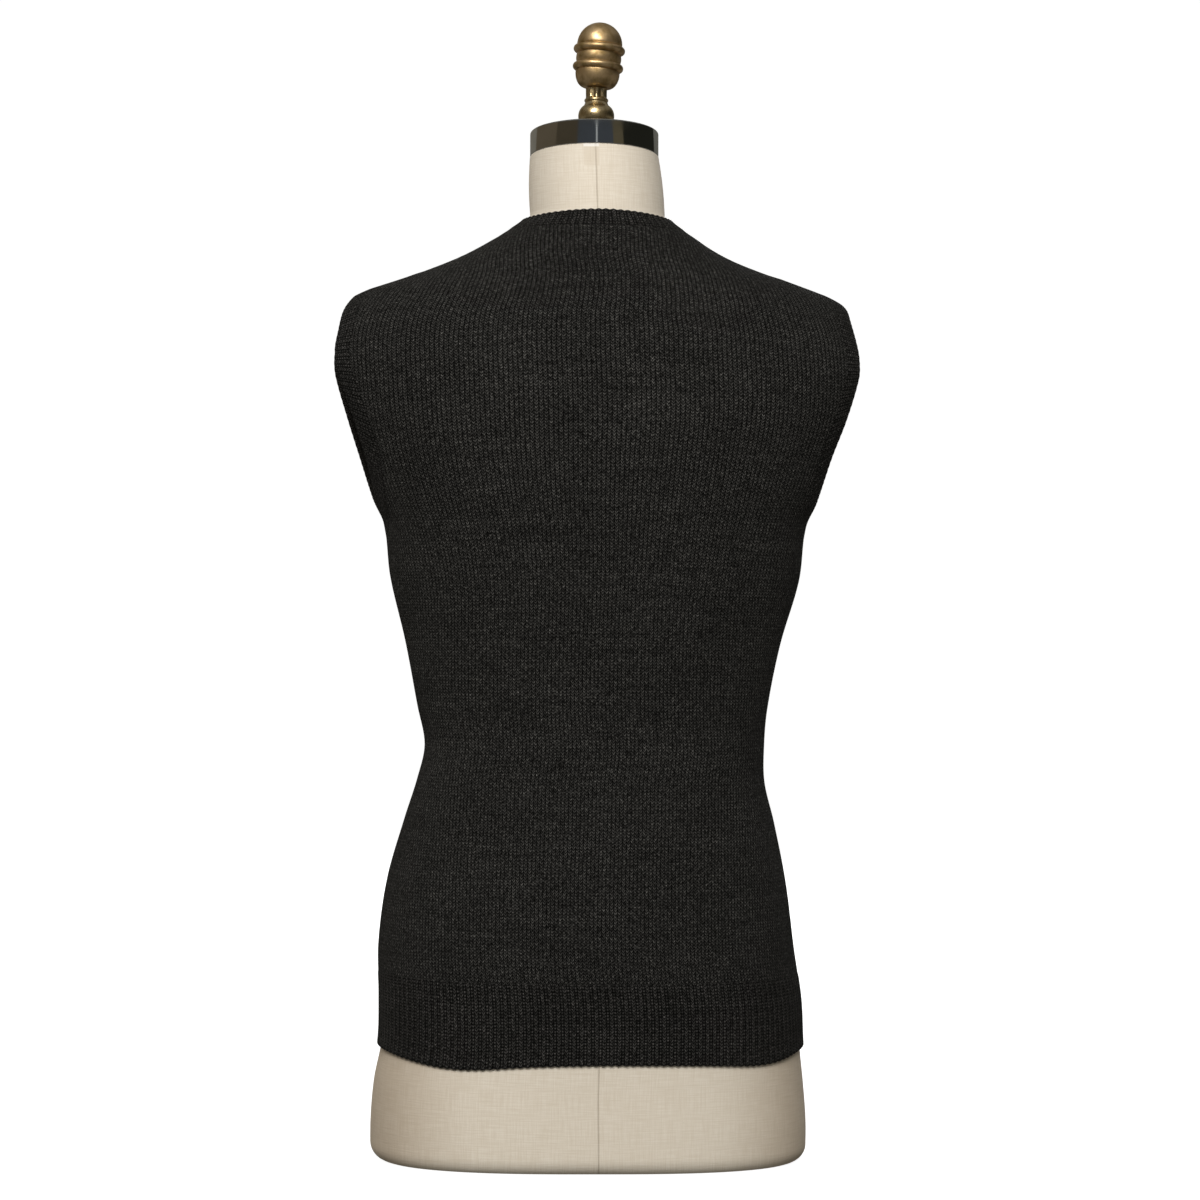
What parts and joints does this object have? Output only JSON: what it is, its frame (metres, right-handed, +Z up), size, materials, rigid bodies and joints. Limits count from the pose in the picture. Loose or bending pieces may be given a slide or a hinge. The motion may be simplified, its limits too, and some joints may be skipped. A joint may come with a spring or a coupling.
{
  "type": "knitted sweater vest on a limbless dress form",
  "caption": "Sleeveless V-neck pullover in fine knit with ribbed welt, neckband and armbands, worn by a cloth-covered dress form with a metal neck cap and turned finial.",
  "frame": {"origin": "on the dress form's flat underside, below the middle of the shoulders, in the plane of the vest's side seams", "axes": "+Z up; -Y is the garment's back, the side that was pictured; +Y its front; +X to the right of someone who looks at the back"},
  "size_m": [0.408, 0.2343, 0.8852],
  "materials": {
    "charcoal_knit": "charcoal heather wool, fine plain knit and 1x1 rib",
    "form_linen": "natural cream linen, stretched smooth",
    "dark_chrome": "dark polished chrome",
    "polished_brass": "polished brass",
    "aged_brass": "aged satin brass"
  },
  "bodies": {
    "root": {"vest_back": "charcoal_knit", "vest_front": "charcoal_knit", "vest_back_welt": "charcoal_knit", "vest_front_welt": "charcoal_knit", "vest_neckband": "charcoal_knit", "vest_armband_right": "charcoal_knit", "vest_armband_left": "charcoal_knit", "form_torso": "form_linen", "form_neck_cap": "dark_chrome", "form_finial_stem": "polished_brass", "form_finial_knob": "aged_brass"}
  },
  "joints": []
}
